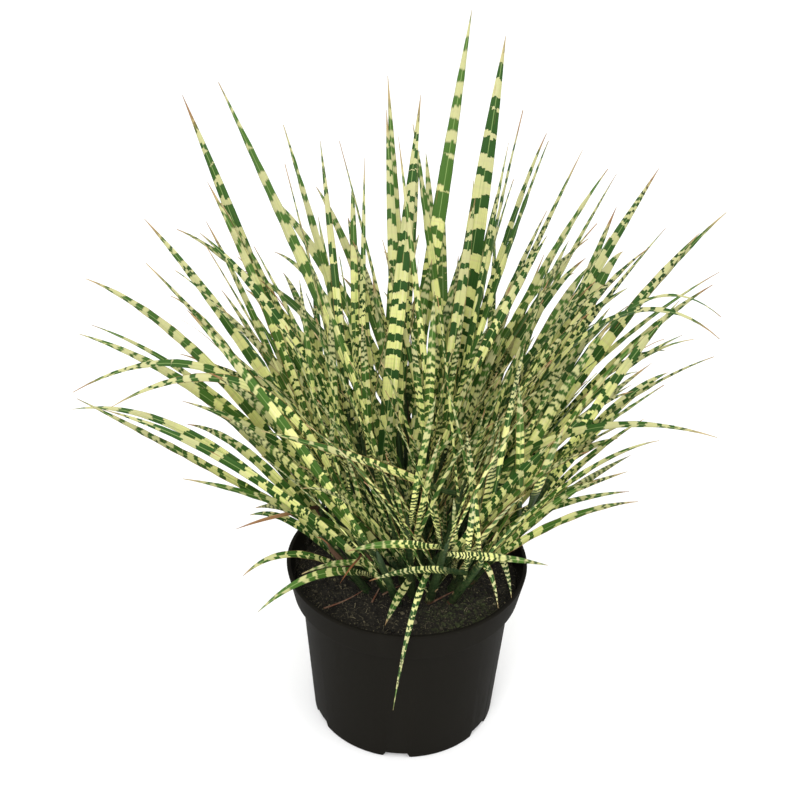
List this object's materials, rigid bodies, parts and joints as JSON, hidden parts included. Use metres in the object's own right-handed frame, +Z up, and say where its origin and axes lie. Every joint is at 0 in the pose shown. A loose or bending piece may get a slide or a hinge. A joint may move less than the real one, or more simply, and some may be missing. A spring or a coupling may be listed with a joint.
{
  "type": "potted ornamental grass",
  "caption": "Clump of leafy grass shoots with gold and green cross-banded blades, growing in a round dark nursery pot filled with compost.",
  "frame": {"origin": "centre of the pot's flat base, on the surface the pot stands on", "axes": "+Z up; -Y towards the viewer of the picture, +X to the viewer's right"},
  "size_m": [0.475, 0.3441, 0.545],
  "materials": {
    "pot_plastic": "satin",
    "compost": "matte",
    "leaf": "satin"
  },
  "bodies": {
    "root": {"pot": "pot_plastic", "soil": "compost", "shoot_01": "leaf", "shoot_02": "leaf", "shoot_03": "leaf", "shoot_04": "leaf", "shoot_05": "leaf", "shoot_06": "leaf", "shoot_07": "leaf", "shoot_08": "leaf", "shoot_09": "leaf", "shoot_10": "leaf", "shoot_11": "leaf", "shoot_12": "leaf", "shoot_13": "leaf", "shoot_14": "leaf", "shoot_15": "leaf", "shoot_16": "leaf", "shoot_17": "leaf", "shoot_18": "leaf", "shoot_19": "leaf", "shoot_20": "leaf", "shoot_21": "leaf", "shoot_22": "leaf", "shoot_23": "leaf", "shoot_24": "leaf", "shoot_25": "leaf", "shoot_26": "leaf", "shoot_27": "leaf", "shoot_28": "leaf", "shoot_29": "leaf", "shoot_30": "leaf", "shoot_31": "leaf", "shoot_32": "leaf", "shoot_33": "leaf", "shoot_34": "leaf"}
  },
  "joints": []
}
